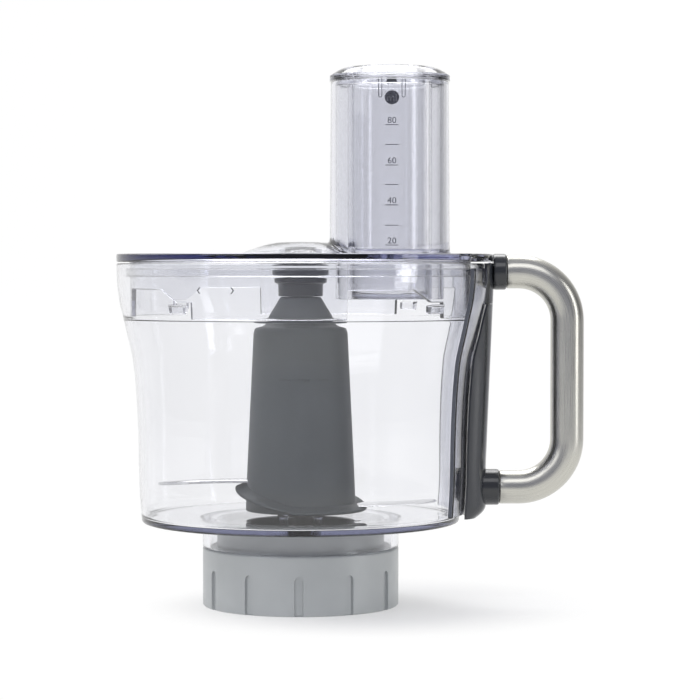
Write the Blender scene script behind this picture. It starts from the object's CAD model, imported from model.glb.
# %% [markdown]
# # A clear food processor bowl, piece by piece
# This lesson dresses a food processor bowl that clips on a stand mixer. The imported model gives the
# frame: its bodies, joints and sizes. Every visible surface is then worked out with numpy as a grid
# of points, because turned and moulded pieces are all a profile carried round or along something.
# Lengths in the arrays are millimetres from the bowl's own axis, which is how a maker measures them.

# %% The frame and its box
import math
import bmesh
import bpy
import numpy as np
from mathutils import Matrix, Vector


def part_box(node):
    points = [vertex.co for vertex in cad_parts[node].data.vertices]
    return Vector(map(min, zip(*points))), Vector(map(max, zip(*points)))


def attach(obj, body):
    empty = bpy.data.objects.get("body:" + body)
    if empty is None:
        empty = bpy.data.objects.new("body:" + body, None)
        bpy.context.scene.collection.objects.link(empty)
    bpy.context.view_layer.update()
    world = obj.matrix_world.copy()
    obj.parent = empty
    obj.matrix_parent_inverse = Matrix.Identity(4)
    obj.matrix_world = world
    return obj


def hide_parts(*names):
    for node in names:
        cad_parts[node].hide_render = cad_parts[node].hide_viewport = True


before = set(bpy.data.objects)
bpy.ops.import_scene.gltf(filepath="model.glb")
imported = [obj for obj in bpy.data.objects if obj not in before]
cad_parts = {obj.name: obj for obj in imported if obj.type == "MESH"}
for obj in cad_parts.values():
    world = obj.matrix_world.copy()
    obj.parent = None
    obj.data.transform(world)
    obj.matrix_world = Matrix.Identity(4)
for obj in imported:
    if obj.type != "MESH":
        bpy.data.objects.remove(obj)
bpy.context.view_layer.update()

MM = 0.001
TAU = math.tau
bowl_low, bowl_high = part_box("bowl")
AXIS_X = (bowl_low.x + bowl_high.x) / 2 / MM

# %% [markdown]
# ## From a grid of points to a closed mesh
# A moulded piece is a closed skin. If its points lie in rows, each row going once round the piece,
# the faces are the small quads between neighbouring rows. A row that shrinks to one point closes the
# skin at a pole. One helper does this for every piece, and turns the skin over if it came inside out,
# which it can tell from the sign of its volume.

# %% Grid to mesh
def surface(name, grid, body, mat, wrap_rows=False, crease=32.0, replaces=(), slot=None, uv=None):
    """Quads between rows of a (rows, columns, 3) grid; columns always wrap, rows wrap on request.
    Six times the volume is the sum of the faces' corner products; if negative, the skin turns."""
    rows, cols = grid.shape[:2]
    points = (grid.reshape(-1, 3) + (AXIS_X, 0.0, 0.0)) * MM
    r = np.arange(rows if wrap_rows else rows - 1)
    c = np.arange(cols)
    a = r[:, None] * cols + c
    b = r[:, None] * cols + (c + 1) % cols
    low = ((r + 1) % rows)[:, None] * cols
    quads = np.stack([a, b, low + (c + 1) % cols, low + c], axis=-1).reshape(-1, 4)
    p = points[quads]
    volume = np.einsum("ij,ij->i", p[:, 0], np.cross(p[:, 1], p[:, 2])).sum()
    volume += np.einsum("ij,ij->i", p[:, 0], np.cross(p[:, 2], p[:, 3])).sum()
    if volume < 0:
        quads = quads[:, ::-1]
    mesh = bpy.data.meshes.new(name)
    mesh.from_pydata(points, [], quads)
    if uv is not None:
        layer = mesh.uv_layers.new(name="flow")
        layer.data.foreach_set("uv", uv.reshape(-1, 2)[quads.reshape(-1)].ravel())
    return settle(name, mesh, body, mat, crease, replaces)


def settle(name, mesh, body, mat, crease=32.0, replaces=()):
    """Merge doubled points, shade smooth but for real edges, and hand the piece to its body."""
    bm = bmesh.new()
    bm.from_mesh(mesh)
    bmesh.ops.remove_doubles(bm, verts=bm.verts, dist=2e-6)
    bmesh.ops.dissolve_degenerate(bm, edges=bm.edges, dist=1e-7)
    bm.to_mesh(mesh)
    bm.free()
    mesh.polygons.foreach_set("use_smooth", np.ones(len(mesh.polygons), bool))
    mesh.set_sharp_from_angle(angle=math.radians(crease))
    mesh.materials.append(mat)
    obj = bpy.data.objects.new(name, mesh)
    bpy.context.scene.collection.objects.link(obj)
    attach(obj, body)
    if replaces:
        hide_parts(*replaces)
    return obj


# %% [markdown]
# ## Profiles
# Almost everything here is turned, so its shape is a profile in radius and height. Moulded corners
# are never sharp, so each corner of a profile becomes a small curve that leaves one side and meets
# the next: a quadratic Bezier whose middle handle is the corner itself. Smooth shading would tilt a
# long flat face towards the corners at its ends, and a clear wall would then bend what stands behind
# it, so long sides get a support point near each end. Flowing walls pass through measured points
# instead, on a Catmull-Rom spline.

# %% Profile helpers
def held(flat, closed, hold=0.25, longest=2.0):
    """A side from p to q that is over `longest` gets p + hold d and q - hold d, d its direction."""
    ahead = np.roll(flat, -1, axis=0) - flat
    gap = np.linalg.norm(ahead, axis=1)
    is_long = gap > longest
    is_long[-1] &= closed
    step = ahead * (hold / np.maximum(gap, hold))[:, None]
    rows = np.stack([flat, flat + step, flat + ahead - step], axis=1)
    keep = np.stack([np.ones(len(flat), bool), is_long, is_long], axis=1)
    return rows[keep]


def rounded(points, radius=0.4, steps=4, closed=True, hold=True):
    """Each corner p becomes (1-t)^2 a + 2t(1-t) p + t^2 b, with a and b a radius away from p."""
    p = np.array(points, float)
    r = np.broadcast_to(np.array(radius, float), (len(p),))
    before = np.roll(p, 1, axis=0) - p
    after = np.roll(p, -1, axis=0) - p
    gap_before = np.linalg.norm(before, axis=1)
    gap_after = np.linalg.norm(after, axis=1)
    reach = np.minimum(r, 0.45 * np.minimum(gap_before, gap_after))
    a = p + before * (reach / gap_before)[:, None]
    b = p + after * (reach / gap_after)[:, None]
    t = np.linspace(0, 1, steps + 1)[None, :, None]
    curve = (1 - t) ** 2 * a[:, None] + 2 * t * (1 - t) * p[:, None] + t ** 2 * b[:, None]
    if not closed:
        curve[0] = p[0]
        curve[-1] = p[-1]
    flat = curve.reshape(-1, p.shape[1])
    step = np.linalg.norm(np.diff(flat, axis=0, prepend=flat[-1:] + 9.0), axis=1)
    flat = flat[step > 1e-4]
    return held(flat, closed) if hold else flat


def spline(points, steps=8):
    """Catmull-Rom: from p1 to p2 runs a cubic whose end slopes are half of p2-p0 and p3-p1."""
    p = np.array(points, float)
    ends = np.vstack([2 * p[0] - p[1], p, 2 * p[-1] - p[-2]])
    p0, p1, p2, p3 = (ends[i:len(ends) - 3 + i, None] for i in range(4))
    t = (np.arange(steps) / steps)[None, :, None]
    curve = 0.5 * (2 * p1 + (p2 - p0) * t + (2 * p0 - 5 * p1 + 4 * p2 - p3) * t ** 2
                   + (3 * p1 - p0 - 3 * p2 + p3) * t ** 3)
    return np.vstack([curve.reshape(-1, p.shape[1]), p[-1]])


def carried(profile, angles, centre=(0.0, 0.0)):
    """Each profile point (r, z) goes round the centre: x = cx + r cos a, y = cy + r sin a."""
    r = profile[:, 0][:, None]
    z = profile[:, 1][:, None]
    return np.stack([centre[0] + r * np.cos(angles), centre[1] + r * np.sin(angles),
                     z + 0 * angles], axis=-1)


def around(count):
    """Evenly spaced angles once round."""
    return TAU * np.arange(count) / count


def turned(name, profile, body, mat, count=192, centre=(0.0, 0.0), ring=True, **more):
    """A piece of revolution: ring profiles close on themselves, others end on the axis."""
    return surface(name, carried(profile, around(count), centre), body, mat, wrap_rows=ring, **more)


def capped(grid):
    """Close both ends of a tube of rows with a flat fan about the end row's middle.
    The middle is the mean of the row, so the section must be stout enough to hold it."""
    first = np.repeat(grid[:1].mean(axis=1, keepdims=True), grid.shape[1], axis=1)
    last = np.repeat(grid[-1:].mean(axis=1, keepdims=True), grid.shape[1], axis=1)
    return np.concatenate([first, grid, last])


print("helpers ready")

# %% [markdown]
# ## Clear plastic
# The bowl, lid and pushers are a clear tough plastic with a slight violet tint. A real wall is
# nearly colourless face on, and turns violet-blue where the eye looks along it, because the light
# then crosses centimetres of plastic. So the walls are modelled at their true thickness and the tint
# is put inside them, as absorption by length: strongest in the lid, whose rim is the darkest line.
# The pushers stand one in the other, six walls deep, so their surfaces are nearly white. Fine
# moulding ripple goes in as a very weak bump.

# %% Clear plastic finish
def new_tree(name):
    """A fresh node material and its shader."""
    mat = bpy.data.materials.new(name)
    mat.use_nodes = True
    tree = mat.node_tree
    return mat, tree, tree.nodes["Principled BSDF"]


def add(tree, kind, **values):
    """One node, with its sockets set by name and its settings by attribute."""
    made = tree.nodes.new("ShaderNode" + kind)
    for key, value in values.items():
        if key in made.inputs:
            made.inputs[key].default_value = value
        else:
            setattr(made, key, value)
    return made


def noise(tree, scale, detail=3.0, stretch=(1.0, 1.0, 1.0)):
    """Noise on the piece's own coordinates, in cells per metre, stretched along an axis."""
    coords = add(tree, "TexCoord")
    place = add(tree, "Mapping", Scale=stretch)
    tree.links.new(coords.outputs["Object"], place.inputs["Vector"])
    made = add(tree, "TexNoise", Scale=scale, Detail=detail)
    tree.links.new(place.outputs["Vector"], made.inputs["Vector"])
    return made.outputs["Fac"]


def ranged(tree, source, start, end, first=0.0, last=1.0, **settings):
    """The first value up to start, the last from end on, and a slope between them."""
    made = add(tree, "MapRange", **settings)
    for key, value in zip(("From Min", "From Max", "To Min", "To Max"), (start, end, first, last)):
        made.inputs[key].default_value = value
    tree.links.new(source, made.inputs["Value"])
    return made.outputs["Result"]


def ramped(tree, source, stops):
    """Colours at places from 0 to 1 along a ramp, mixed between neighbours."""
    made = add(tree, "ValToRGB")
    marks = made.color_ramp.elements
    for i, (place, colour) in enumerate(stops):
        mark = marks[i] if i < 2 else marks.new(place)
        mark.position = place
        mark.color = (*colour, 1.0)
    tree.links.new(source, made.inputs["Fac"])
    return made.outputs["Color"]


def spread(tree, pattern, low, high):
    """A noise pattern, which keeps near its middle, stretched to fill a range."""
    return ranged(tree, pattern, 0.3, 0.7, low, high)


def tone(tree, pattern, dark, light):
    """Two colours mixed by a pattern."""
    return ramped(tree, pattern, ((0.35, dark), (0.65, light)))


def bump(tree, shader, fac, strength, depth):
    """A small relief from a pattern; depth in metres."""
    made = add(tree, "Bump", Strength=strength, Distance=depth)
    tree.links.new(fac, made.inputs["Height"])
    tree.links.new(made.outputs["Normal"], shader.inputs["Normal"])


def clear_plastic(name, tint, density, base=(0.985, 0.987, 0.992)):
    """Transparent moulding: light loses exp(-density (1 - tint) length) on its way through."""
    mat, tree, shader = new_tree(name)
    shader.inputs["Transmission Weight"].default_value = 1.0
    shader.inputs["IOR"].default_value = 1.5
    shader.inputs["Base Color"].default_value = (*base, 1.0)
    tree.links.new(spread(tree, noise(tree, 60), 0.004, 0.016), shader.inputs["Roughness"])
    bump(tree, shader, noise(tree, 45, 1.0, (1, 1, 0.3)), 0.04, 0.0003)
    volume = add(tree, "VolumeAbsorption", Density=density)
    volume.inputs["Color"].default_value = (*tint, 1.0)
    out = tree.nodes["Material Output"]
    tree.links.new(volume.outputs["Volume"], out.inputs["Volume"])
    return mat


CLEAR_BOWL = clear_plastic("clear_bowl_plastic", (0.1, 0.13, 0.36), 13.0)
CLEAR_LID = clear_plastic("clear_lid_plastic", (0.08, 0.11, 0.45), 22.0)
CLEAR_TUBE = clear_plastic("clear_pusher_plastic", (0.08, 0.11, 0.34), 16.0,
                           (0.996, 0.996, 0.998))
CLEAR_SEAL = clear_plastic("clear_silicone", (0.1, 0.12, 0.3), 10.0)
print("clear plastics:", CLEAR_BOWL.name, CLEAR_LID.name, CLEAR_TUBE.name)

# %% [markdown]
# ## Solid plastics, rubber and metals
# The collar is satin silver-grey with a little flake in it, the hub a matt mid grey, its cap satin
# black, the sockets dark and glossy, and the bushes dark oiled bronze. Metals are brushed: the lines
# are noise that is stretched the way the brush went, in both roughness and relief.

# %% Opaque finishes
def moulded(name, dark, light, rough, grain=2500.0, relief=0.00002, metal=0.0, coat=0.0):
    """Moulded plastic: cloudy colour at hand size, grain at skin size."""
    mat, tree, shader = new_tree(name)
    tree.links.new(tone(tree, noise(tree, 35, 4), dark, light), shader.inputs["Base Color"])
    shader.inputs["Metallic"].default_value = metal
    shader.inputs["Coat Weight"].default_value = coat
    tree.links.new(spread(tree, noise(tree, 180, 5), rough - 0.05, rough + 0.06),
                   shader.inputs["Roughness"])
    bump(tree, shader, noise(tree, grain, 2), 0.35, relief)
    return mat


def brushed(name, dark, light, rough, stretch, scale=900.0, relief=0.00001, turn=0.0):
    """Brushed metal: noise stretched along the brush gives streaks of tone, gloss and relief."""
    mat, tree, shader = new_tree(name)
    shader.inputs["Metallic"].default_value = 1.0
    streaks = noise(tree, scale, 4, stretch)
    tree.links.new(tone(tree, streaks, dark, light), shader.inputs["Base Color"])
    tree.links.new(spread(tree, streaks, rough - 0.06, rough + 0.08), shader.inputs["Roughness"])
    shader.inputs["Anisotropic"].default_value = 0.4
    shader.inputs["Anisotropic Rotation"].default_value = turn
    bump(tree, shader, streaks, 0.25, relief)
    return mat


SATIN_GREY = moulded("satin_silver_plastic", (0.455, 0.475, 0.478), (0.495, 0.515, 0.518), 0.36,
                     1800.0, 0.00003, metal=0.25)
HUB_GREY = moulded("matt_hub_plastic", (0.098, 0.111, 0.118), (0.108, 0.122, 0.129), 0.52,
                   3000.0, 0.0000003)
CAP_DARK = moulded("satin_cap_plastic", (0.012, 0.013, 0.014), (0.016, 0.017, 0.019), 0.32,
                   900.0, 0.0000005)
DARK_GLOSS = moulded("dark_gloss_plastic", (0.022, 0.024, 0.027), (0.028, 0.03, 0.034), 0.22,
                     900.0, 0.000004, coat=0.3)
SMOKE_COVER = moulded("smoke_cover_plastic", (0.02, 0.023, 0.028), (0.027, 0.03, 0.036), 0.2,
                      700.0, 0.000003, coat=0.5)
SEAL_BLACK = moulded("black_seal_rubber", (0.012, 0.012, 0.012), (0.02, 0.02, 0.02), 0.62, 3000.0)
PRINT = moulded("printed_ink", (0.06, 0.062, 0.075), (0.08, 0.083, 0.097), 0.5, 3000.0, 0.000004)
BRONZE = brushed("oiled_sintered_bronze", (0.13, 0.115, 0.095), (0.19, 0.17, 0.14), 0.42, (1, 1, 1))
TURNED_STEEL = brushed("turned_steel", (0.5, 0.5, 0.5), (0.62, 0.62, 0.62), 0.26, (1, 1, 30))
BLADE_STEEL = brushed("ground_blade_steel", (0.6, 0.6, 0.61), (0.72, 0.72, 0.73), 0.18,
                      (3, 40, 40))
print("opaque finishes ready")

# %% [markdown]
# ## The bowl
# The bowl is one moulding: a floor, a wall that goes up almost straight and then flares to the rim,
# a ring under the floor that stands on the collar, and a boss for the drive shaft. It is a ring
# profile, because the boss leaves a hole in the middle. The flare is a spline through measured
# points, and the inside wall is the same spline moved in by the wall's thickness. From low on the
# wall it thickens slowly up to a small ledge, where the lid's skirt comes to rest.

# %% Bowl
BOWL_WALL = 2.5
FLOOR_LOW = 41.6
FLOOR_TOP = 44.4
RING_R = 48.7
LEDGE_Z = 142.5
LEDGE = 0.9
THICK_FROM_Z = 60.0
RIM_Z = bowl_high.z / MM
outer_wall = spline([(79.05, 45.6), (79.4, 51.0), (80.0, 62.0), (80.5, 87.0), (81.5, 107.0),
                     (82.9, 121.5), (84.5, 129.0), (86.2, 136.0), (87.6, 142.4), (89.6, 151.0),
                     (90.6, 160.0), (90.9, 168.2)], 7)
inner_line = outer_wall[::-1] - (BOWL_WALL, 0.0)
thicker = inner_line[(inner_line[:, 1] < LEDGE_Z - 1.5) & (inner_line[:, 1] > 49.0)].copy()
thicker[:, 0] -= LEDGE * np.clip((thicker[:, 1] - THICK_FROM_Z) / (LEDGE_Z - THICK_FROM_Z), 0, 1)
ledge = rounded([(85.15, LEDGE_Z + 0.6), (85.1, LEDGE_Z + 0.1), (84.2, LEDGE_Z),
                 (84.0, LEDGE_Z - 0.8)], [0, 0.2, 0.25, 0], 4, closed=False)
inner_wall = np.vstack([inner_line[inner_line[:, 1] > LEDGE_Z + 1], ledge, thicker])
under = rounded([(6.9, 31.0), (6.9, 29.6), (10.5, 29.6), (10.5, FLOOR_LOW), (45.2, FLOOR_LOW),
                 (45.2, 29.6), (RING_R, 29.6), (RING_R, FLOOR_LOW), (78.7, FLOOR_LOW), (79.0, 45.3)],
                [0, 0.3, 0.4, 1.0, 1.0, 0.3, 0.3, 1.2, 2.2, 0], 5, closed=False)
rim = rounded([(90.9, 168.3), (90.85, RIM_Z), (88.4, RIM_Z), (88.4, 168.3)], 0.55, 4, closed=False)
bowl_floor = rounded([(76.75, 48.6), (76.6, FLOOR_TOP), (11.4, FLOOR_TOP), (10.4, 47.4),
                      (6.9, 47.4), (6.9, 45.0)], [0, 3.2, 0.6, 0.3, 0.3, 0], 5, closed=False)
bowl_profile = np.vstack([under, outer_wall, rim, inner_wall, bowl_floor])
bowl = turned("bowl_clear", bowl_profile, "bowl_body", CLEAR_BOWL, 256, replaces=["bowl"],
              slot="clear_plastic")
print("bowl:", len(bowl.data.polygons), "faces, rim at", round(RIM_Z, 1), "mm")


def wall_radius(z):
    """Outer radius of the bowl at a height, read off its own spline."""
    return np.interp(z, outer_wall[:, 1], outer_wall[:, 0])


# %% [markdown]
# ## Lugs and screw bosses
# Four small lugs stand inside the wall and catch the lid's skirt, and three round posts under the
# floor take the collar's screws. A lug is its outline in radius and height carried through six
# degrees, with a flat fan at each end.

# %% Lugs and posts
def sector(outline, start, end, steps):
    """Rows of the outline at angles from start to end, in degrees."""
    angles = np.radians(np.linspace(start, end, steps))[:, None]
    r = outline[:, 0]
    return np.stack([r * np.cos(angles), r * np.sin(angles), outline[:, 1] + 0 * angles], axis=-1)


FIRST_LUG = -131.0
HALF_LUG = 3.0
lug_outline = rounded([(83.1, 146.3), (85.7, 145.6), (87.0, 150.3), (83.1, 149.6)], 0.5, 4)
for i in range(4):
    middle = FIRST_LUG + 90.0 * i
    rows = sector(lug_outline, middle - HALF_LUG, middle + HALF_LUG, 9)
    surface("bowl_lug_%d" % (i + 1), capped(rows), "bowl_body", CLEAR_BOWL, slot="clear_plastic")
SCREW_RING = 34.0
screw_spots = SCREW_RING * np.stack([np.cos(np.radians([90, 210, 330])),
                                     np.sin(np.radians([90, 210, 330]))], axis=-1)
post_profile = rounded([(1.9, 29.8), (4.4, 29.8), (4.2, 41.4), (1.9, 41.4)], 0.3, 3)
screw_profile = rounded([(0.0, 23.9), (1.0, 23.9), (1.0, 23.3), (2.4, 23.6), (3.2, 24.4),
                         (3.2, 26.0), (1.6, 26.0), (1.6, 38.0), (0.0, 39.2)], 0.2, 3, closed=False)
for i, spot in enumerate(screw_spots):
    turned("screw_post_%d" % (i + 1), post_profile, "bowl_body", CLEAR_BOWL, 32, spot,
           slot="clear_plastic")
    turned("collar_screw_%d_turned" % (i + 1), screw_profile, "bowl_body", TURNED_STEEL, 32, spot,
           ring=False, replaces=["collar_screw_%d" % (i + 1)], slot="steel")
print("4 lugs, 3 posts, 3 screws")

# %% [markdown]
# ## The turning collar
# The foot is a satin collar with twelve arched grooves for the fingers. The grid's rows bend to
# follow each arch: below the arch's height the rows are spread between the floor and the arch's own
# edge, so the edge stays crisp without a fine mesh everywhere. Columns crowd at the groove's sides.
# Above the foot the collar has a plate for the screws, and a sleeve of the same plastic that stands
# inside the bowl's clear ring and shows through it. Three lugs inside the foot catch the mixer.

# %% Collar
COLLAR_R = 48.6
GROOVES = 12
HALF_GROOVE = 2.0
GROOVE_SPRING = 17.3
GROOVE_DEPTH = 1.2
CHAMFER = 0.35
GROOVE_FOOT_R = 47.3
half_angle = HALF_GROOVE / COLLAR_R
inside = np.linspace(-half_angle, half_angle, 13)
beside = np.linspace(half_angle, TAU / GROOVES - half_angle, 18)[1:-1]
one_groove = np.concatenate([inside[:1] - 0.004, inside, inside[-1:] + 0.004, beside])
collar_angles = (-TAU / 4 + TAU / GROOVES * np.arange(GROOVES)[:, None] + one_groove).ravel()
offset = np.tile(one_groove, GROOVES) * COLLAR_R
in_groove = np.abs(offset) < HALF_GROOVE * 1.001
arch = GROOVE_SPRING + np.sqrt(np.clip(HALF_GROOVE ** 2 - offset ** 2, 0, None))
low_share = np.array([0.0, 0.02, 0.2, 0.4, 0.6, 0.8, 0.94, 1.0])
low_z = CHAMFER + low_share[:, None] * (arch - CHAMFER)
low_r = COLLAR_R - GROOVE_DEPTH * in_groove - CHAMFER * (low_share[:, None] < 0.01)
rows_r = [low_r, np.full((1, len(offset)), COLLAR_R)]
rows_z = [low_z, arch[None] + 0.12]
upper = rounded([(COLLAR_R, 19.8), (COLLAR_R, 28.5), (47.8, 29.3), (41.5, 29.3), (41.5, 41.0),
                 (39.3, 41.0), (39.3, 29.3), (20.0, 29.3), (20.0, 26.3), (45.4, 26.3), (45.4, 0.0),
                 (47.9, 0.0), (48.2, 0.2)],
                [0, 0.8, 0.8, 0.5, 0.4, 0.4, 0.5, 0.5, 0.5, 1.5, 0.3, 0.2, 0], 4, closed=False)
for r, z in upper[:-1]:
    on_foot = in_groove & (z < 0.3) & (r > GROOVE_FOOT_R - 0.2)
    rows_r.append(np.where(on_foot, GROOVE_FOOT_R, r)[None])
    rows_z.append(np.full((1, len(offset)), z))
collar_r = np.vstack(rows_r)
collar_z = np.vstack(rows_z)
collar_grid = np.stack([collar_r * np.cos(collar_angles), collar_r * np.sin(collar_angles),
                        collar_z], axis=-1)
collar = surface("base_collar_satin", collar_grid, "bowl_body", SATIN_GREY, wrap_rows=True,
                 crease=40, replaces=["base_collar"], slot="satin_plastic")
lug = rounded([(42.5, 3.0), (45.6, 3.0), (45.6, 6.5), (42.5, 6.5)], 0.4, 3)
for i, middle in enumerate((30.0, 150.0, 270.0)):
    surface("collar_lug_%d" % (i + 1), capped(sector(lug, middle - 10, middle + 10, 13)),
            "bowl_body", SATIN_GREY, slot="satin_plastic")
print("collar:", len(collar.data.polygons), "faces with", GROOVES, "grooves")

# %% [markdown]
# ## The drive: bushes, shaft, coupling
# A steel shaft turns in two bronze bushes with a lip seal between them. Its foot is pinned in a
# coupling with a hexagon socket, and a hexagon above carries the knife. All of it is turned work, so
# each piece is one short profile; the hexagons are the same rows with the polygon's radius.

# %% Drive
def polygon_radius(angles, sides):
    """Radius of a polygon with corners at 1: cos(pi/n) over cos of the angle from a face."""
    part = np.mod(angles, TAU / sides) - math.pi / sides
    return math.cos(math.pi / sides) / np.cos(part)


RINGS = (("shaft_bush_lower", 4.3, 6.6, 30.0, 36.0, "bowl_body", BRONZE, "bronze"),
         ("shaft_seal", 4.3, 6.6, 36.6, 40.2, "bowl_body", SEAL_BLACK, "seal_rubber"),
         ("shaft_bush_upper", 4.3, 6.6, 40.8, 47.0, "bowl_body", BRONZE, "bronze"),
         ("thrust_washer", 4.4, 9.5, 28.0, 29.2, "drive_body", TURNED_STEEL, "steel"))
for node, bore, wide, low, high, body, mat, slot in RINGS:
    turned(node + "_turned", rounded([(bore, low), (wide, low), (wide, high), (bore, high)], 0.3, 3),
           body, mat, 64, replaces=[node], slot=slot)
shaft_angles = around(72)
hexagon = polygon_radius(shaft_angles, 6)
shaft_profile = rounded([(0.0, 16.8), (3.4, 16.8), (4.0, 17.4), (4.0, 48.3), (3.3, 48.3),
                         (3.3, 49.5), (4.0, 49.5), (4.0, 61.6), (5.2, 62.0), (5.2, 127.0),
                         (4.4, 128.0), (0.0, 128.0)], 0.12, 3, closed=False)
shaft_grid = carried(shaft_profile, shaft_angles)
is_hex = (shaft_profile[:, 1] > 61.8)[:, None, None]
shaft_grid[..., :2] *= np.where(is_hex, hexagon[None, :, None], 1.0)
surface("drive_shaft_turned", shaft_grid, "drive_body", TURNED_STEEL, replaces=["drive_shaft"],
        slot="steel")
socket_profile = rounded([(0.0, 15.0), (9.0, 15.0), (9.0, 5.0), (15.0, 5.0), (15.0, 22.0),
                          (14.0, 23.0), (7.5, 24.0), (7.5, 27.6), (4.3, 27.6), (4.3, 16.5),
                          (0.0, 16.5)],
                         [0, 0.2, 0.4, 0.6, 0.8, 0.6, 0.8, 0.5, 0.3, 0.2, 0], 3, closed=False)
socket_grid = carried(socket_profile, shaft_angles)
is_socket = ((socket_profile[:, 0] < 9.01) & (socket_profile[:, 1] > 5.39)
             & (socket_profile[:, 1] < 15.01))[:, None, None]
socket_grid[..., :2] *= np.where(is_socket, hexagon[None, :, None], 1.0)
surface("drive_coupling_moulded", socket_grid, "drive_body", DARK_GLOSS,
        replaces=["drive_coupling"], slot="dark_plastic")
clip = rounded([(3.65, 48.55), (6.2, 48.55), (6.2, 49.25), (3.65, 49.25)], 0.1, 2)
surface("circlip_pressed", capped(sector(clip, 120, 420, 41)), "drive_body", TURNED_STEEL,
        replaces=["circlip"], slot="steel")
pin = rounded([(-13.6, 0.0), (-13.6, 1.2), (13.6, 1.2), (13.6, 0.0)], 0.3, 3, closed=False)
pin_angles = around(24)
pin_grid = np.stack([pin[:, 1][:, None] * np.cos(pin_angles), pin[:, 0][:, None] + 0 * pin_angles,
                     20.0 + pin[:, 1][:, None] * np.sin(pin_angles)], axis=-1)
surface("drive_pin_turned", pin_grid, "drive_body", TURNED_STEEL, replaces=["drive_pin"],
        slot="steel")
print("drive made")

# %% [markdown]
# ## The knife hub
# The hub is a tall hollow cone in matt grey with a stepped shoulder. Round its foot runs a flange
# whose height changes with the angle: high at the back left where the upper blade leaves it, low at
# the front right where the lower one does, with a ramp between them on each side.

# %% Hub
HUB_FOOT = (27.3, 47.0)
HUB_KNEE = (26.8, 62.0)
HUB_SHOULDER = (23.35, 135.6)
hub_profile = rounded([(0.0, 130.0), (5.7, 130.0), (5.7, 60.0), (8.0, 60.0), (8.0, 133.5),
                       (20.6, 133.5), (24.5, 62.0), (24.9, 47.0), HUB_FOOT, HUB_KNEE, HUB_SHOULDER,
                       (22.7, 137.9), (20.6, 139.3), (16.7, 140.4), (15.5, 144.0), (10.0, 153.0),
                       (6.0, 153.0), (6.0, 158.0), (0.0, 158.0)],
                      [0, 0.3, 0.3, 0.3, 1.0, 2.0, 1.0, 0.4, 0.8, 3.0, 1.5, 1.0, 1.2, 1.2, 1.0, 0.8,
                       0.4, 0.4, 0], 4, closed=False)
hub = turned("knife_hub_matt", hub_profile, "drive_body", HUB_GREY, 144, ring=False,
             replaces=["knife_hub"], slot="grey_plastic")


def flange_top(degrees, low=51.3, rise=10.7, run=85.0):
    """Height of the flange: an even ramp up from 0 degrees and down again from 180 degrees."""
    up = np.clip(degrees / run, 0, 1)
    down = np.clip((degrees - 180.0) / run, 0, 1)
    return low + rise * (up - down)


def hub_radius(z):
    """The hub's outer radius at a height: straight lines from its foot to its shoulder."""
    radii, heights = zip(HUB_FOOT, HUB_KNEE, HUB_SHOULDER)
    return np.interp(z, heights, radii)


flange_angles = around(180)
top = flange_top(np.degrees(flange_angles))
section = rounded([(0.0, 0.0), (6.2, -2.6), (6.6, -3.4), (5.6, -4.2), (3.4, -4.3), (0.0, -4.3)],
                  [0, 0.8, 0.6, 0.6, 0.4, 0], 4, closed=False)
flange_r = hub_radius(top)[:, None] - 0.8 + section[:, 0]
flange_z = np.maximum(top[:, None] + section[:, 1], HUB_FOOT[1] + 0.05)
flange_grid = np.stack([flange_r * np.cos(flange_angles)[:, None],
                        flange_r * np.sin(flange_angles)[:, None], flange_z], axis=-1)
surface("hub_flange_matt", flange_grid, "drive_body", HUB_GREY, wrap_rows=True, slot="grey_plastic")
print("hub:", len(hub.data.polygons), "faces")

# %% [markdown]
# ## The blades
# Two thin sickles of stainless steel leave the hub half a turn apart and at two heights. A blade is
# its middle line in plan with a width at every station: the grid runs along that line, and round a
# section that is flat below and ground to an edge in front.

# %% Blades
BLADE_THICK = 1.5
lead = spline([(20.0, -9.0), (32.0, -9.0), (46.0, -5.0), (58.0, 3.0), (66.6, 13.0), (69.0, 19.0)])
trail = spline([(20.0, 6.0), (31.0, 6.0), (40.0, 7.6), (50.5, 11.4), (60.0, 17.6), (66.2, 21.6)])
across = np.array([0.0, 0.04, 0.3, 0.6, 0.97, 1.0, 1.0, 0.97, 0.6, 0.3, 0.04, 0.0])
level = np.array([0.4, 0.55, 1.0, 1.0, 1.0, 0.85, 0.15, 0.0, 0.0, 0.0, 0.25, 0.4])
plan = lead[:, None] + (trail - lead)[:, None] * across[None, :, None]
for node, turn in (("blade_lower", 1.0), ("blade_upper", -1.0)):
    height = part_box(node)[0].z / MM + BLADE_THICK * level[None, :] + 0 * plan[..., 0]
    blade_grid = np.stack([turn * plan[..., 0], turn * plan[..., 1], height], axis=-1)
    surface(node + "_ground", capped(blade_grid), "drive_body", BLADE_STEEL, crease=25,
            replaces=[node], slot="steel")
print("blades reach", round(float(np.hypot(*lead[-1])), 1), "mm from the axis")

# %% [markdown]
# ## The cap on the hub
# A dark cap plugs on the hub. It has two flanges with a neck between them, and its top runs in a
# small cup under the lid.

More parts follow.
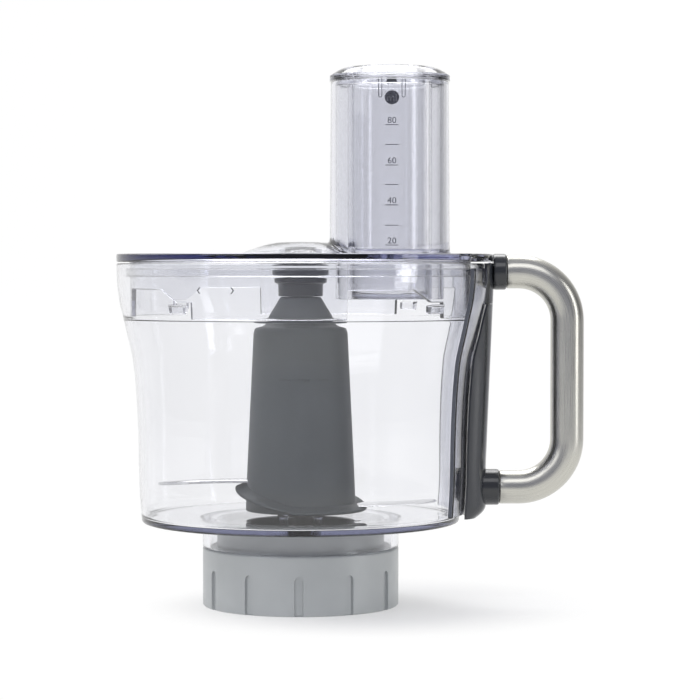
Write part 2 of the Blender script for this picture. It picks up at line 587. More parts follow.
# %% Hub cap
cap_profile = rounded([(0.0, 158.4), (6.3, 158.4), (6.3, 153.3), (11.0, 153.3), (11.2, 159.4),
                       (13.0, 160.0), (13.0, 162.2), (8.5, 162.5), (8.5, 163.5), (14.0, 163.7),
                       (14.0, 166.7), (12.6, 167.2), (0.0, 167.2)],
                      [0, 0.3, 0.3, 0.6, 0.6, 0.4, 0.4, 0.4, 0.4, 0.4, 0.8, 0.8, 0], 4, closed=False)
turned("hub_cap_dark", cap_profile, "drive_body", CAP_DARK, 96, ring=False, replaces=["hub_cap"],
       slot="dark_plastic")
cup_profile = rounded([(5.0, 168.2), (8.0, 168.2), (8.0, 177.1), (5.0, 177.1)], 0.4, 3)
turned("lid_bearing_cup_dark", cup_profile, "lid_body", DARK_GLOSS, 64,
       replaces=["lid_bearing_cup"], slot="dark_plastic")
boss_profile = rounded([(8.4, 176.0), (8.4, 169.0), (10.6, 169.0), (10.6, 175.4)], 0.4, 3)
turned("lid_boss_clear", boss_profile, "lid_body", CLEAR_LID, 64, slot="clear_plastic")
print("cap and bearing made")

# %% [markdown]
# ## The lid with its feed tube
# Lid and feed tube are one moulding. Every column of the grid starts on the tube's oval, runs out
# over the plate to the rim at its own angle, goes round the rim, down and up the skirt and back under
# the plate into the tube. Plate and dome share one height function of the distance from the axis.
# The skirt has four cut-outs for the bowl's lugs, each with a slope that draws the lid down as it
# turns, so the skirt's lower edge is a function of the angle. The rim grows a tab by the handle
# whose underside is a ramp that presses the interlock pin.

# %% Lid
TUBE_X = 44.2
OVAL_POWER = 2.3
PLATE_R = 86.0
LID_R = 91.0
LID_LOW = 170.2
LID_TOP = 173.9
PLATE_THICK = 2.05
SKIRT_OUT_R = 84.3
SKIRT_IN_R = 82.3
SKIRT_END_Z = 143.2
HALF_WINDOW = 19.0
WINDOW_TOP_Z = 157.0


def oval_reach(dx, dy, a, b, power=OVAL_POWER):
    """Distance from an oval's middle to its edge along (dx, dy): (|dx/a|^p + |dy/b|^p)^(-1/p)."""
    return (np.abs(dx / a) ** power + np.abs(dy / b) ** power) ** (-1.0 / power)


def smooth(x):
    """0 to 1 with level ends: x^2 (3 - 2x)."""
    x = np.clip(x, 0.0, 1.0)
    return x * x * (3 - 2 * x)


def plate_top(r):
    """Lid height: level plate with a dome that rises 6.1 mm between radius 34 and 9."""
    return LID_TOP + 6.1 * smooth((34.0 - r) / 25.0) ** 0.8


window_mid = np.array([-145.0, -55.0, 35.0, 125.0])
window_edges = np.sort(np.concatenate([window_mid - HALF_WINDOW, window_mid + HALF_WINDOW]))
wanted = np.concatenate([np.arange(-180, 180, 0.8), (window_edges[:, None] + (-0.12, 0.12)).ravel(),
                         [1.9, 2.3, -31.9, -32.3]])
phi_deg = np.unique(np.round(np.mod(wanted + 180, 360) - 180, 3))
phi = np.radians(phi_deg)
from_mid = np.mod(phi_deg[:, None] - window_mid + 180, 360) - 180
nearest = from_mid[np.arange(len(phi_deg)), np.abs(from_mid).argmin(axis=1)]
slope_z = WINDOW_TOP_Z - 6.0 * np.clip((nearest - 5.0) / 7.8, 0, 1)
skirt_z = np.where(np.abs(nearest) < HALF_WINDOW, slope_z, SKIRT_END_Z)
tab_share = (2.0 - phi_deg) / 34.0
tab = smooth((phi_deg + 32.3) / 1.6) * smooth((2.3 - phi_deg) / 1.6)
tab_z = LID_LOW + 2.9 * np.clip((tab_share - 0.2) / 0.7, 0, 1) * (tab > 0)
rim_r = LID_R + 4.2 * tab

outer_x = PLATE_R * np.cos(phi)
outer_y = PLATE_R * np.sin(phi)
ray_x = outer_x - TUBE_X
ray_y = outer_y
ray_len = np.hypot(ray_x, ray_y)
ray_x = ray_x / ray_len
ray_y = ray_y / ray_len


def along_ray(t):
    """Points a distance t from the tube's middle along each column's ray."""
    return TUBE_X + t * ray_x, t * ray_y


def ray_to_circle(radius):
    """Distance along each ray to a circle about the axis, from the quadratic for |c + t d| = r."""
    half = TUBE_X * ray_x
    return -half + np.sqrt(half ** 2 - TUBE_X ** 2 + radius ** 2)


def tube_rows(profile):
    """Rows on the tube: profile points are (a, b, z)."""
    t = oval_reach(ray_x, ray_y, profile[:, 0][:, None], profile[:, 1][:, None])
    x, y = along_ray(t)
    return np.stack([x, y, profile[:, 2][:, None] + 0 * x], axis=-1)


def plate_rows(start, end, shares, lift):
    """Rows on the plate between two distances along the rays, at the plate's height plus lift."""
    t = start + (end - start) * shares[:, None]
    x, y = along_ray(t)
    return np.stack([x, y, plate_top(np.hypot(x, y)) + lift], axis=-1)


def rim_rows(radii, heights):
    """Rows round the axis; radii and heights are one number or one per column."""
    r = np.stack([np.broadcast_to(np.asarray(v, float), phi.shape) for v in radii])
    z = np.stack([np.broadcast_to(np.asarray(v, float), phi.shape) for v in heights])
    return np.stack([r * np.cos(phi), r * np.sin(phi), z], axis=-1)


tube_line = rounded([(27.2, 26.0, 168.6), (27.2, 26.0, 258.9), (29.2, 28.0, 258.9),
                     (29.75, 28.5, 180.5)], [0, 0.5, 0.5, 0], 4, closed=False, hold=False)
bore_share = np.linspace(0, 0.98, 8)[:, None]
wall_share = np.linspace(0.02, 1, 10)[:, None]
tube_line = np.vstack([tube_line[:1] + (tube_line[1] - tube_line[0]) * bore_share, tube_line[1:-1],
                       tube_line[-2] + (tube_line[-1] - tube_line[-2]) * wall_share])
fillet = ((0.0, 2.6), (0.06, 1.7), (0.25, 0.95), (0.6, 0.4), (1.2, 0.1), (2.0, 0.0))
foot_rows = np.concatenate([plate_rows(oval_reach(ray_x, ray_y, 29.8 + out, 28.55 + out), 0.0,
                                       np.zeros(1), lift) for out, lift in fillet])
open_plate = plate_rows(oval_reach(ray_x, ray_y, 32.4, 31.1), ray_len, np.linspace(0, 1, 26), 0.0)
rim_line = rim_rows(
    [87.1, 87.5, 88.2, rim_r - 0.9, rim_r - 0.35, rim_r - 0.08, rim_r, rim_r, rim_r - 0.08,
     rim_r - 0.35, rim_r - 0.8, 90.95, 90.7, 90.3, 85.2, 84.6, 84.35, SKIRT_OUT_R],
    [LID_TOP, LID_TOP + 0.1, LID_TOP + 0.25, LID_TOP + 0.25, LID_TOP + 0.15, LID_TOP - 0.1,
     LID_TOP - 0.5, tab_z + 0.45, tab_z + 0.2, tab_z + 0.05, tab_z, tab_z, LID_LOW + 0.1, LID_LOW,
     LID_LOW, LID_LOW - 0.2, LID_LOW - 0.6, LID_LOW - 1.2])
skirt_share = np.concatenate([[0.01], np.linspace(0, 1, 9)[1:-1], [0.99, 1.0]])[:, None]
out_z = LID_LOW - 1.2 + (skirt_z[None] + 0.5 - LID_LOW + 1.2) * skirt_share
in_z = skirt_z[None] + 0.5 + (LID_LOW - skirt_z[None] - 0.5) * skirt_share
skirt_out = rim_rows([SKIRT_OUT_R] * len(out_z), list(out_z))
skirt_foot = rim_rows([84.2, 83.9, 82.7, 82.4, SKIRT_IN_R],
                      [skirt_z + 0.2, skirt_z, skirt_z, skirt_z + 0.2, skirt_z + 0.5])
skirt_in = rim_rows([SKIRT_IN_R] * len(in_z), list(in_z))
skirt_top = rim_rows([82.2, 81.7, 80.9], [171.2, 171.7, 171.85])
under_plate = plate_rows(ray_to_circle(79.5), oval_reach(ray_x, ray_y, 30.4, 29.2),
                         np.linspace(0, 1, 24), -PLATE_THICK)
stub_foot = np.array([(29.8, 28.6, 169.2), (29.6, 28.4, 168.6), (27.5, 26.3, 168.5)])
stub = np.concatenate([plate_rows(oval_reach(ray_x, ray_y, 29.9, 28.65), 0.0, np.zeros(1), -2.5),
                       tube_rows(stub_foot)])
lid_grid = np.concatenate([tube_rows(tube_line), foot_rows, open_plate, rim_line, skirt_out,
                           skirt_foot, skirt_in, skirt_top, under_plate, stub])
lid = surface("lid_clear", lid_grid, "lid_body", CLEAR_LID, wrap_rows=True, crease=40,
              replaces=["lid"], slot="clear_plastic")
print("lid:", len(lid.data.polygons), "faces,", len(phi), "columns")

# %% [markdown]
# ## The sealing ring
# A pale ring of silicone seals the lid in the bowl. It is kept flat between its two thin lips, since
# it stands right in front of the hub's cap and a bulge would bend the cap out of sight.

# %% Sealing ring
seal_profile = rounded([(84.6, 163.0), (86.8, 163.0), (86.9, 163.3), (86.1, 163.5), (86.1, 166.7),
                        (86.9, 166.8), (86.8, 167.0), (84.6, 167.0)], 0.1, 3)
turned("lid_gasket_moulded", seal_profile, "seal_body", CLEAR_SEAL, 192, replaces=["lid_gasket"],
       slot="pale_rubber")
print("sealing ring made")

# %% [markdown]
# ## The two pushers
# The outer pusher is an oval sleeve with a round bore, and the inner one is a round measuring cup
# that slides in it. Their rows change from oval to circle, so each station of the profile carries
# its two half widths, its middle, its oval's power and its height, and the same corner rounding
# works on all five numbers at once.

# %% Pushers
CUP_X = 44.2
CUP_R = 19.0


def station_rows(stations, angles):
    """Rows from stations (a, b, middle, power, z), each an oval in polar form about its middle."""
    a, b, middle, power, z = (stations[:, i][:, None] for i in range(5))
    reach = oval_reach(np.cos(angles)[None], np.sin(angles)[None], a, b, power)
    return np.stack([middle + reach * np.cos(angles), reach * np.sin(angles), z + 0 * reach], axis=-1)


def oval(a, b, z):
    """An oval station about the feed tube's middle."""
    return (a, b, TUBE_X, OVAL_POWER, z)


def disc(radius, z):
    """A round station about the cup's middle."""
    return (radius, radius, CUP_X, 2.0, z)


pusher_angles = around(224)
sleeve = rounded([oval(26.85, 25.65, 152.0), oval(26.85, 25.65, 259.3), oval(29.75, 28.5, 259.3),
                  oval(29.75, 28.5, 260.8), disc(19.4, 260.8), disc(19.4, 152.0),
                  disc(21.2, 152.0), disc(21.3, 257.1), oval(25.25, 24.05, 257.1),
                  oval(25.25, 24.05, 152.0)], [0.4, 0.5, 0.5, 0.5, 0.4, 0.3, 0.3, 0.4, 0.6, 0.4], 4)
surface("outer_pusher_clear", station_rows(sleeve, pusher_angles), "outer_pusher_body", CLEAR_TUBE,
        wrap_rows=True, crease=40, replaces=["outer_pusher"], slot="clear_plastic")
cup = rounded([disc(0.02, 152.2), disc(18.2, 152.2), disc(CUP_R, 153.2), disc(CUP_R, 261.1),
               oval(29.75, 28.5, 261.1), oval(29.75, 28.5, 261.9), oval(26.2, 25.1, 264.3),
               oval(22.4, 21.9, 265.9), disc(18.7, 266.5), disc(18.0, 265.8), disc(18.0, 155.4),
               disc(17.2, 154.4), disc(0.02, 154.4)],
              [0, 0.5, 0.5, 0.6, 0.35, 0.45, 2.4, 2.4, 0.5, 0.4, 0.6, 0.6, 0], 4, closed=False)
surface("inner_pusher_clear", station_rows(cup, pusher_angles), "inner_pusher_body", CLEAR_TUBE,
        crease=40, replaces=["inner_pusher"], slot="clear_plastic")
print("pushers made")

# %% [markdown]
# ## The handle
# The handle is a stainless tube bent to a D. Its middle line is two straight legs, two quarter
# circles and an upright; a circle is carried along it, square to the line. Dark sockets hold its
# ends. The brush went along the tube, so the streaks follow a UV map that measures round and along.

# %% Handle
HANDLE_R = 8.25
HANDLE_X = 132.2
BEND = 24.0
HANDLE_BORE_R = 7.05
HIGH_Z = 165.3
LOW_Z = 58.4
quarter = np.linspace(0, math.pi / 2, 20)
across_bend = BEND * np.sin(quarter)
along_bend = BEND * np.cos(quarter)
top_bend = np.stack([HANDLE_X - BEND + across_bend, HIGH_Z - BEND + along_bend, quarter], -1)
low_bend = np.stack([HANDLE_X - BEND + along_bend, LOW_Z + BEND - across_bend,
                     math.pi / 2 + quarter], -1)
line = np.vstack([[(x, HIGH_Z, 0.0) for x in (102.1, 102.4, 105.0)], top_bend,
                  [(HANDLE_X, z, math.pi / 2) for z in (125.0, 112.0, 97.0)], low_bend,
                  [(x, LOW_Z, math.pi) for x in (103.0, 99.0, 98.7)]])
tube_angles = around(64)


def swept(points, radius):
    """A circle at each (x, z, heading) of a line in the plane y = 0, square to the heading a:
    (x + r sin t sin a, r cos t, z + r sin t cos a) as t goes round."""
    x, z, a = (points[:, i][:, None] for i in range(3))
    side = radius[:, None] * np.sin(tube_angles)
    return np.stack([x + side * np.sin(a), radius[:, None] * np.cos(tube_angles) + 0 * x,
                     z + side * np.cos(a)], -1)


outer_r = np.full(len(line), HANDLE_R)
outer_r[[0, -1]] = HANDLE_R - 0.3
bore_r = np.full(len(line), HANDLE_BORE_R)
tube_grid = np.concatenate([swept(line, outer_r), swept(line[::-1], bore_r)])
run = np.concatenate([[0], np.cumsum(np.hypot(*np.diff(line[:, :2], axis=0).T))])
run = np.concatenate([run, run[::-1]]) * MM
flow = np.stack(np.broadcast_arrays(run[:, None], HANDLE_R * MM * tube_angles[None]), axis=-1)


def brushed_along(name, dark, light, rough):
    """Steel with its brush lines on the UV map: long in the first direction, fine in the second."""
    mat, tree, shader = new_tree(name)
    shader.inputs["Metallic"].default_value = 1.0
    uv = add(tree, "UVMap", uv_map="flow")
    place = add(tree, "Mapping", Scale=(40.0, 5200.0, 1.0))
    tree.links.new(uv.outputs["UV"], place.inputs["Vector"])
    lines = add(tree, "TexNoise", Scale=1.0, Detail=3.0)
    tree.links.new(place.outputs["Vector"], lines.inputs["Vector"])
    streaks = lines.outputs["Fac"]
    tree.links.new(tone(tree, streaks, dark, light), shader.inputs["Base Color"])
    tree.links.new(spread(tree, streaks, rough - 0.05, rough + 0.08), shader.inputs["Roughness"])
    bump(tree, shader, streaks, 0.2, 0.000012)
    return mat


TUBE_STEEL = brushed_along("brushed_tube_steel", (0.51, 0.5, 0.455), (0.61, 0.6, 0.545), 0.27)
tube = surface("handle_tube_brushed", tube_grid, "bowl_body", TUBE_STEEL, wrap_rows=True, crease=50,
               replaces=["handle_tube"], slot="brushed_steel", uv=flow)


def turned_x(profile, angles, z):
    """Profile points (x, r) carried round a level axis along X at height z."""
    x = profile[:, 0][:, None]
    r = profile[:, 1][:, None]
    return np.stack([x + 0 * angles, r * np.cos(angles), z + r * np.sin(angles)], axis=-1)


ENDS = (("top", 95.3, 101.8, HIGH_Z, 3.5, 91.6, 107.0), ("low", 89.5, 98.4, LOW_Z, 0.0, 83.4, 104.0))
for part, start, end, z, drop, head, tip in ENDS:
    sock = rounded([(start, 0.0), (start, 8.6), (start + 1.2, 8.95), (end - 0.6, 8.9), (end, 8.5),
                    (end, 0.0)], [0, 0.5, 0.8, 0.5, 0.3, 0], 5, closed=False)
    surface("handle_socket_%s_dark" % part, turned_x(sock, tube_angles, z), "bowl_body", DARK_GLOSS,
            replaces=["handle_socket_" + part], slot="dark_plastic")
    plug = rounded([(end + 0.3, 0.0), (end + 0.3, 6.7), (end + 7.5, 6.7), (end + 7.5, 0.0)], 0.4, 3,
                   closed=False)
    surface("handle_plug_%s_dark" % part, turned_x(plug, tube_angles, z), "bowl_body", DARK_GLOSS,
            replaces=["handle_plug_" + part], slot="dark_plastic")
    bolt = rounded([(head + 0.8, 0.0), (head + 0.8, 1.2), (head, 1.4), (head, 3.0),
                    (head + 0.4, 3.4), (head + 1.6, 3.4), (head + 1.6, 2.0), (tip, 2.0), (tip, 0.0)],
                   0.1, 2, closed=False)
    surface("handle_bolt_%s_turned" % part, turned_x(bolt, around(36), z - drop), "bowl_body",
            TURNED_STEEL, replaces=["handle_bolt_" + part], slot="steel")
print("handle:", len(tube.data.polygons), "faces")

# %% [markdown]
# ## Bracket and cover at the handle
# Behind the handle a thin smoky bracket hugs the wall, and a darker cover makes a smooth spine from
# the rim down past the floor. The bracket is an outline of two offset wall lines carried through
# fifty degrees, with its top edge cut down where the cover's head stands. It thins to a rounded end
# on each side, where its skin is pinched shut on a middle line, because a fan would cut across the
# curve. A narrow satin strip covers each end, which as clear plastic alone would look black. The
# cover is a stack of closed sections: a back that follows the wall and a bulging front.

# %% Bracket and cover
HALF_MOUNT = 25.0
MOUNT_GAP = 0.3
MOUNT_LOW = 46.2
MOUNT_HIGH = 167.0
MOUNT_CUT = 149.4
SMOKE_CLEAR = clear_plastic("smoke_bracket_plastic", (0.3, 0.3, 0.42), 75.0, (0.84, 0.85, 0.9))
mount_share = np.linspace(0, 1, 40)
mount_az = np.unique(np.concatenate([np.linspace(-HALF_MOUNT, HALF_MOUNT, 41),
                                     [-9.35, -9.15, 9.15, 9.35],
                                     [-24.95, -24.8, -24.5, -24.2, 24.2, 24.5, 24.8, 24.95]]))
mount_top = np.where(np.abs(mount_az) < 9.2, MOUNT_CUT, MOUNT_HIGH)
up_z = MOUNT_LOW + (mount_top[:, None] - MOUNT_LOW) * mount_share
mount_z = np.concatenate([up_z, up_z[:, ::-1]], axis=1)
mount_thick = 0.9 + 1.1 * np.sqrt(np.clip((HALF_MOUNT - np.abs(mount_az[:, None])) / 0.7, 0, 1))
mount_back = wall_radius(up_z) + MOUNT_GAP
mount_r = np.concatenate([mount_back, mount_back[:, ::-1] + mount_thick], axis=1)
az = np.radians(mount_az)[:, None]
mount_grid = np.stack([mount_r * np.cos(az), mount_r * np.sin(az), mount_z], axis=-1)
seams = (mount_grid[[0, -1]] + mount_grid[[0, -1], ::-1]) / 2
mount_grid = np.concatenate([seams[:1], mount_grid, seams[1:]])
surface("handle_mount_smoke", mount_grid, "bowl_body", SMOKE_CLEAR, replaces=["handle_mount"],
        slot="smoke_plastic")

EDGE_GREY = moulded("satin_edge_plastic", (0.13, 0.14, 0.165), (0.16, 0.17, 0.2), 0.4, 1500.0,
                    0.000002)
strip_z = np.linspace(46.5, 166.7, 70)[:, None]
strip_r = wall_radius(strip_z) + (0.4, 2.2, 2.2, 0.4)
for side, word in ((-1, "left"), (1, "right")):
    strip_az = side * np.radians((25.05, 25.05, 25.3, 25.3))
    strip = np.stack([strip_r * np.cos(strip_az), strip_r * np.sin(strip_az),
                      strip_z + 0 * strip_r], axis=-1)
    surface("mount_edge_" + word, capped(strip), "bowl_body", EDGE_GREY, slot="smoke_plastic")

COVER_HALF = 14.0
cover_z = np.unique(np.concatenate([np.linspace(43.5, 50, 14), np.linspace(50, 149.0, 50),
                                    np.linspace(149.0, 150.2, 5), np.linspace(150.2, 169.3, 10),
                                    [169.5]]))
low_curl = 5.0 * np.clip((50.0 - cover_z) / 6.5, 0, 1) ** 2
cover_back = wall_radius(cover_z) + 0.6 + 2.3 * (1 - smooth((cover_z - 149.2) / 0.8))
cover_face = 92.0 + 3.55 * np.clip((cover_z - 70.0) / 86.0, 0, 1) - low_curl
cover_face = np.maximum(cover_face, cover_back + 1.5)
cover_face[-1] -= 0.3
back_y = COVER_HALF * np.linspace(0.985, -0.985, 15)
back_x = np.sqrt(cover_back[:, None] ** 2 - back_y ** 2)
front_s = np.sin(np.linspace(-math.pi / 2, math.pi / 2, 33))
edge = back_x[:, :1] + 1.0
front_x = edge + (cover_face[:, None] - edge) * (1 - np.abs(front_s) ** 3.0)
section_x = np.concatenate([back_x, front_x], axis=1)
section_y = np.broadcast_to(np.concatenate([back_y, COVER_HALF * front_s]), section_x.shape)
cover_grid = np.stack([section_x, section_y, cover_z[:, None] + 0 * section_x], axis=-1)
surface("handle_cover_smoke", capped(cover_grid), "bowl_body", SMOKE_COVER,
        replaces=["handle_cover"], slot="smoke_plastic")
print("bracket and cover made")

# %% [markdown]
# ## The interlock pin
# Under the lid's tab a small pin stands out of the cover on a spring. The lid's ramp presses it as
# the lid is turned shut. The spring is a circle carried up a helix.

# %% Interlock
COIL_R = 0.95
WIRE_R = 0.22
COIL_TURNS = 5
pin_low, pin_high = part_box("interlock_plunger")
pin_x = (pin_low.x + pin_high.x) / 2 / MM - AXIS_X
pin_y = (pin_low.y + pin_high.y) / 2 / MM
plunger = rounded([(0.0, 158.0), (1.2, 158.0), (1.2, 169.4), (0.7, 169.9), (0.0, 169.9)], 0.1, 3,
                  closed=False)
turned("interlock_plunger_turned", plunger, "interlock_body", TURNED_STEEL, 32, (pin_x, pin_y),
       ring=False, replaces=["interlock_plunger"], slot="steel")
turn = np.linspace(0, COIL_TURNS * TAU, 121)[:, None]
wire = around(10)
coil_r = COIL_R + WIRE_R * np.cos(wire)
coil = np.stack([pin_x + coil_r * np.cos(turn), pin_y + coil_r * np.sin(turn),
                 152.6 + 4.8 * turn / (COIL_TURNS * TAU) + WIRE_R * np.sin(wire)], axis=-1)
surface("interlock_spring_wound", capped(coil), "interlock_body", TURNED_STEEL,
        replaces=["interlock_spring"], slot="steel")
print("pin at", round(float(pin_x), 1), round(float(pin_y), 1))

# %% [markdown]
# ## Printed marks
# The measuring cup carries a scale in millilitres, the hub a filling line, and the lid two arrows
# for turning. A mark starts flat, as x across and z up, and is then rolled on its surface: the
# distance across becomes an angle, distance over radius. A thin Solidify gives the ink its body.

# %% Marks
def flat_text(words, height):
    """Flat outline letters as points and faces, centred, with capitals about the given height."""
    curve = bpy.data.curves.new("letters", "FONT")
    curve.body = words
    curve.size = height * 1.4
    curve.align_x = "CENTER"
    curve.resolution_u = 3
    holder = bpy.data.objects.new("letters", curve)
    bpy.context.scene.collection.objects.link(holder)
    bpy.context.view_layer.update()
    seen = holder.evaluated_get(bpy.context.evaluated_depsgraph_get())
    mesh = bpy.data.meshes.new_from_object(seen)
    points = np.zeros(len(mesh.vertices) * 3)
    mesh.vertices.foreach_get("co", points)
    faces = [tuple(p.vertices) for p in mesh.polygons]
    bpy.data.objects.remove(holder)
    bpy.data.curves.remove(curve)
    points = points.reshape(-1, 3)[:, :2]
    return points - (0.0, height / 2), faces


def flat_bar(width, height, steps=8):
    """A bar as a strip of quads, so that it can bend."""
    x = np.linspace(-width / 2, width / 2, steps + 1)
    points = np.concatenate([np.stack([x, np.full_like(x, -height / 2)], -1),
                             np.stack([x, np.full_like(x, height / 2)], -1)])
    i = np.arange(steps)
    quads = np.stack([i, i + 1, i + 2 + steps, i + 1 + steps], -1)
    return points, [tuple(q) for q in quads.tolist()]


def flat_disc(radius, count=40):
    """A disc as rings of quads about a small middle."""
    rings = np.linspace(0.02, 1, 8)[:, None] * radius
    a = around(count)
    points = np.stack([rings * np.cos(a), rings * np.sin(a)], -1).reshape(-1, 2)
    r = np.arange(7)[:, None] * count
    c = np.arange(count)
    quads = np.stack([r + c, r + count + c, r + count + (c + 1) % count, r + (c + 1) % count], -1)
    return points, [tuple(q) for q in quads.reshape(-1, 4).tolist()]


def flat_slot(width, height, line, count=40):
    """Outline of a round-ended slot: half circles of radius w/2, set (h - w)/2 up and down."""
    a = around(count)
    lift = (height - width) / 2 * np.sign(np.sin(a + 0.01))
    rings = [np.stack([r * np.cos(a), lift + r * np.sin(a)], -1)
             for r in (width / 2, width / 2 - line)]
    i = np.arange(count)
    j = (i + 1) % count
    quads = np.stack([i, j, count + j, count + i], -1)
    return np.concatenate(rings), [tuple(q) for q in quads.tolist()]


def printed(name, marks, radius_at, centre_x, body, mat, depth=0.05):
    """Join marks [(points, faces), x, z] and roll them on a turned surface, seen from the front:
    x = centre + r sin(a), y = -r cos(a), with a = distance across over the radius."""
    flat, faces, base = [], [], 0
    for (points, polys), x, z in marks:
        flat.append(points + (x - centre_x, z))
        faces += [tuple(i + base for i in poly) for poly in polys]
        base += len(points)
    flat = np.concatenate(flat)
    radius = radius_at(flat[:, 1]) + 0.03
    a = flat[:, 0] / radius
    points = np.stack([AXIS_X + centre_x + radius * np.sin(a), -radius * np.cos(a),
                       flat[:, 1]], -1) * MM
    mesh = bpy.data.meshes.new(name)
    mesh.from_pydata(points, [], faces)
    obj = settle(name, mesh, body, mat)
    thick = obj.modifiers.new("ink", "SOLIDIFY")
    thick.thickness = depth * MM
    thick.offset = 1.0
    return obj


def on_cup(name, marks, mat, out=0.0, depth=0.05):
    """Marks on the measuring cup's round wall, a little further out where they overlie others."""
    return printed(name, marks, lambda z: CUP_R + out + 0 * z, CUP_X, "inner_pusher_body", mat, depth)


SCALE_X = 44.9
DISC_Z = 250.2
scale_heights = {80: 236.9, 70: 227.3, 60: 217.3, 50: 207.8, 40: 197.9, 30: 188.0, 20: 178.3}
marks = [(flat_bar(6.2, 0.35), SCALE_X, z) for z in scale_heights.values()]
marks += [(flat_text(str(v), 3.1), SCALE_X, scale_heights[v] + 2.35) for v in (80, 60, 40, 20)]
marks += [(flat_disc(3.4), SCALE_X, DISC_Z)]
on_cup("cup_scale_ink", marks, PRINT)
PALE_PRINT = moulded("pale_ink", (0.6, 0.6, 0.62), (0.68, 0.68, 0.7), 0.5, 3000.0, 0.000004)
on_cup("cup_unit_ink", [(flat_text("ml", 3.6), SCALE_X, DISC_Z)], PALE_PRINT, 0.1)
LATCH_TONE = moulded("latch_edge_plastic", (0.26, 0.27, 0.33), (0.3, 0.31, 0.37), 0.3, 2000.0,
                     0.000004)
slots = [(flat_slot(1.9, 9.8, 0.35), SCALE_X + side * 5.5, 255.1) for side in (-1, 1)]
on_cup("latch_slots", slots, LATCH_TONE)
hook = np.array([(-2.7, 1.1), (-1.9, 0.1), (-2.7, -1.1), (2.7, -1.1), (1.9, 0.1), (2.7, 1.1)])
hook_faces = [(0, 1, 4, 5), (1, 2, 3, 4)]
on_cup("latch_hook", [((hook, hook_faces), SCALE_X - 0.2, 258.6)], PRINT, depth=0.25)
FILL_INK = moulded("filling_mark_ink", (0.035, 0.04, 0.042), (0.045, 0.05, 0.052), 0.5, 3000.0,
                   0.000004)
filling = [(flat_text("max", 2.4), 2.1, 113.2), (flat_bar(6.0, 0.4), -7.6, 113.0),
           (flat_bar(6.0, 0.4), 11.8, 113.0)]
printed("hub_filling_mark", filling, hub_radius, 0.0, "drive_body", FILL_INK)
chevron = np.array([[-0.9, 0.0], [0.5, 1.6], [1.0, 1.4], [-0.2, 0.0], [1.0, -1.4], [0.5, -1.6]])
chevron_faces = [(0, 3, 2, 1), (0, 5, 4, 3)]
arrows = [((chevron, chevron_faces), -48.5, 156.8),
          ((chevron * (-1, 1), [f[::-1] for f in chevron_faces]), -30.5, 156.8)]
printed("lid_turn_arrows", arrows, lambda z: SKIRT_OUT_R + 0 * z, 0.0, "lid_body", PRINT)
print("marks printed")

# %% [markdown]
# ## Floor, light and camera
# The set is a white floor under a pale sky. Clear pieces live from what they bend, so the sky is
# white behind them, darker to the right, and a violet grey in front, which draws their edges and
# their dark lines. Away from the foot the floor glows softly, so that it runs into the white behind,
# while near the foot it stays plain and takes a shadow. Four soft boxes model the metal and the grey
# plastic. The camera stands a bit over a metre in front, just below the lid's height, with a long
# lens.

# %% Floor
floor_mesh = bpy.data.meshes.new("studio_floor")
floor_mesh.from_pydata([(-6, -4, 0), (6, -4, 0), (6, 12, 0), (-6, 12, 0)], [], [(0, 1, 2, 3)])
floor = bpy.data.objects.new("studio_floor", floor_mesh)
bpy.context.scene.collection.objects.link(floor)
floor_mat, floor_tree, floor_shader = new_tree("white_floor")
floor_tree.links.new(tone(floor_tree, noise(floor_tree, 3), (0.86, 0.86, 0.86), (0.88, 0.88, 0.88)),
                     floor_shader.inputs["Base Color"])
floor_shader.inputs["Roughness"].default_value = 0.6


def reckoned(tree, kind, operation, *sources):
    """A Math or VectorMath node on its sources: other nodes' outputs or plain values."""
    made = add(tree, kind, operation=operation)
    for socket, source in zip(made.inputs, sources):
        if isinstance(source, bpy.types.NodeSocket):
            tree.links.new(source, socket)
        else:
            socket.default_value = source
    return made.outputs["Value" if operation == "LENGTH" else 0]


def faded(source, start, end, first=0.0, last=1.0):
    """A slope with level ends, x^2 (3 - 2x), in the floor's tree."""
    return ranged(floor_tree, source, start, end, first, last, interpolation_type="SMOOTHSTEP")


FOOT_MIDDLE = (0.012, 0.0, 0.0)
LENS_BACK = 1.3
from_middle = add(floor_tree, "TexCoord").outputs["Object"]
aside = reckoned(floor_tree, "VectorMath", "SUBTRACT", from_middle, FOOT_MIDDLE)
from_foot = reckoned(floor_tree, "VectorMath", "LENGTH", aside)
split = add(floor_tree, "SeparateXYZ")
floor_tree.links.new(from_middle, split.inputs[0])
from_lens = reckoned(floor_tree, "Math", "ADD", split.outputs["Y"], LENS_BACK)
sideways = reckoned(floor_tree, "Math", "DIVIDE", split.outputs["X"], from_lens)
share = reckoned(floor_tree, "Math", "MULTIPLY", faded(from_foot, 0.045, 0.125, 0.42),
                 faded(split.outputs["Y"], -0.62, -0.36))
share = reckoned(floor_tree, "Math", "MULTIPLY", share, faded(sideways, 0.17, 0.45, 1.0, 0.15))
glow = add(floor_tree, "Emission", Strength=1.01)
blend = add(floor_tree, "MixShader")
floor_tree.links.new(share, blend.inputs[0])
floor_tree.links.new(floor_shader.outputs[0], blend.inputs[1])
floor_tree.links.new(glow.outputs[0], blend.inputs[2])
floor_tree.links.new(blend.outputs[0], floor_tree.nodes["Material Output"].inputs["Surface"])
floor_mesh.materials.append(floor_mat)

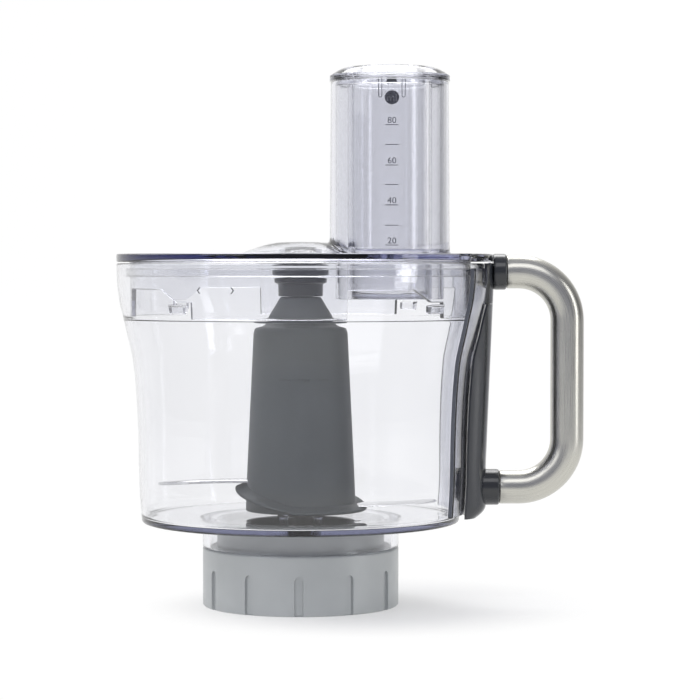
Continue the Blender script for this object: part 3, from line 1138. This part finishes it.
# %% Light
world = bpy.data.worlds.new("white_studio")
world.use_nodes = True
bpy.context.scene.world = world
sky = world.node_tree
background = sky.nodes["Background"]
WHITE = (1.0, 1.0, 1.0)
parts = add(sky, "SeparateXYZ")
sky.links.new(add(sky, "TexCoord").outputs["Generated"], parts.inputs[0])
sideways_tone = ramped(sky, ranged(sky, parts.outputs["X"], -1.0, 1.0),
                       ((0.0, (0.92, 0.92, 0.92)), (0.66, WHITE), (1.0, (0.2, 0.2, 0.2))))
front_tone = ramped(sky, ranged(sky, parts.outputs["Y"], -0.35, 0.75),
                    ((0.0, (0.31, 0.32, 0.39)), (1.0, WHITE)))
sky.links.new(reckoned(sky, "VectorMath", "MULTIPLY", sideways_tone, front_tone),
              background.inputs["Color"])
background.inputs["Strength"].default_value = 1.03


def soft_box(name, spot, aim, width, height, power):
    """A rectangular lamp at a spot, turned to look at its aim."""
    lamp = bpy.data.lights.new(name, "AREA")
    lamp.shape = "RECTANGLE"
    lamp.size = width
    lamp.size_y = height
    lamp.energy = power
    obj = bpy.data.objects.new(name, lamp)
    obj.location = spot
    obj.rotation_euler = (Vector(aim) - Vector(spot)).to_track_quat("-Z", "Y").to_euler()
    bpy.context.scene.collection.objects.link(obj)
    return obj


soft_box("key_box", (-1.1, -1.0, 0.9), (0, 0, 0.12), 0.9, 1.2, 5)
soft_box("strip_box", (1.35, -0.5, 0.35), (0.1, 0, 0.12), 0.3, 1.3, 4.5)
soft_box("top_box", (0.0, 0.75, 1.2), (0, 0, 0.1), 0.9, 0.7, 8)
soft_box("front_box", (0.1, -0.9, 1.1), (0, 0, 0.15), 1.3, 0.55, 4.0)
print("floor, sky and four lamps ready")

# %% Camera
STAND = Vector((0.0, -1.25, 0.1686))
AIM = Vector((0.0, 0.0, 0.1265))
LENS_MM = 129.6
SENSOR_MM = 36.0
LONGEST_PATH = 40
lens = bpy.data.cameras.new("camera")
lens.lens = LENS_MM
lens.sensor_width = SENSOR_MM
camera = bpy.data.objects.new("camera", lens)
camera.location = STAND
camera.rotation_euler = (AIM - camera.location).to_track_quat("-Z", "Y").to_euler()
bpy.context.scene.collection.objects.link(camera)
bpy.context.scene.camera = camera
scene = bpy.context.scene
scene.view_settings.view_transform = "Standard"
scene.cycles.max_bounces = LONGEST_PATH
scene.cycles.transmission_bounces = LONGEST_PATH
scene.cycles.transparent_max_bounces = LONGEST_PATH
scene.cycles.volume_bounces = 0
scene.cycles.sample_clamp_indirect = 6.0
print("camera", tuple(round(v, 3) for v in camera.location))
